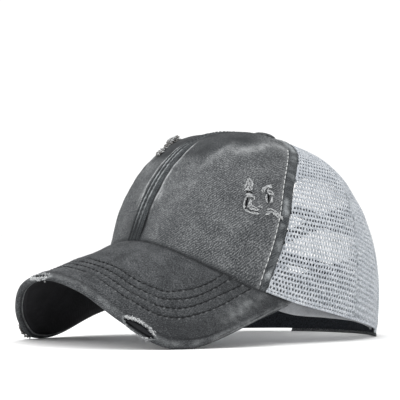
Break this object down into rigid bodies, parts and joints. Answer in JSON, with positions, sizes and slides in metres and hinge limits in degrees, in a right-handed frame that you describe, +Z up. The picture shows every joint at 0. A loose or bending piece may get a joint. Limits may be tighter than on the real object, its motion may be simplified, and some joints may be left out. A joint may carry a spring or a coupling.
{
  "type": "mesh cap",
  "caption": "Worn cotton and mesh cap with a bent peak, a raised centre seam and a tall opening at the back, bridged by crossed elastic straps and a tab closure.",
  "frame": {"origin": "on the table under the middle of the cap's box, where the cap stands on the low edges of its peak and on the closure tab", "axes": "-Y towards the tip of the peak, +X the wearer's left, +Z up"},
  "size_m": [0.1786, 0.2676, 0.1435],
  "materials": {
    "washed_cotton": "washed woven twill, worn pale along edges",
    "dark_seam_cotton": "darker dyed twill, puckered",
    "pale_lining": "thin plain-woven lining",
    "polyester_mesh": "open knitted mesh of staggered holes",
    "binding_tape": "folded woven tape",
    "black_closure_strip": "fine nylon loop pile",
    "sweatband_cotton": "woven cotton",
    "peak_cotton": "washed woven twill with torn holes and worn rim",
    "peak_board": "moulded sheet, matt",
    "peak_underside": "near-black twill",
    "elastic_webbing": "flat ribbed elastic"
  },
  "bodies": {
    "root": {"front_panel_left": "washed_cotton", "front_panel_right": "washed_cotton", "front_seam_band_left": "dark_seam_cotton", "front_seam_band_right": "dark_seam_cotton", "front_lining_left": "pale_lining", "front_lining_right": "pale_lining", "side_mesh_left": "polyester_mesh", "side_mesh_right": "polyester_mesh", "rear_mesh_left": "polyester_mesh", "rear_mesh_right": "polyester_mesh", "centre_seam_strip": "dark_seam_cotton", "opening_binding": "binding_tape", "closure_tab": "washed_cotton", "closure_strip": "black_closure_strip", "sweatband": "sweatband_cotton", "peak_cover": "peak_cotton", "peak_board": "peak_board", "peak_underside": "peak_underside", "cross_strap_upper_over": "elastic_webbing", "cross_strap_upper_under": "elastic_webbing", "cross_strap_lower_over": "elastic_webbing", "cross_strap_lower_under": "elastic_webbing", "button": "washed_cotton"}
  },
  "joints": []
}
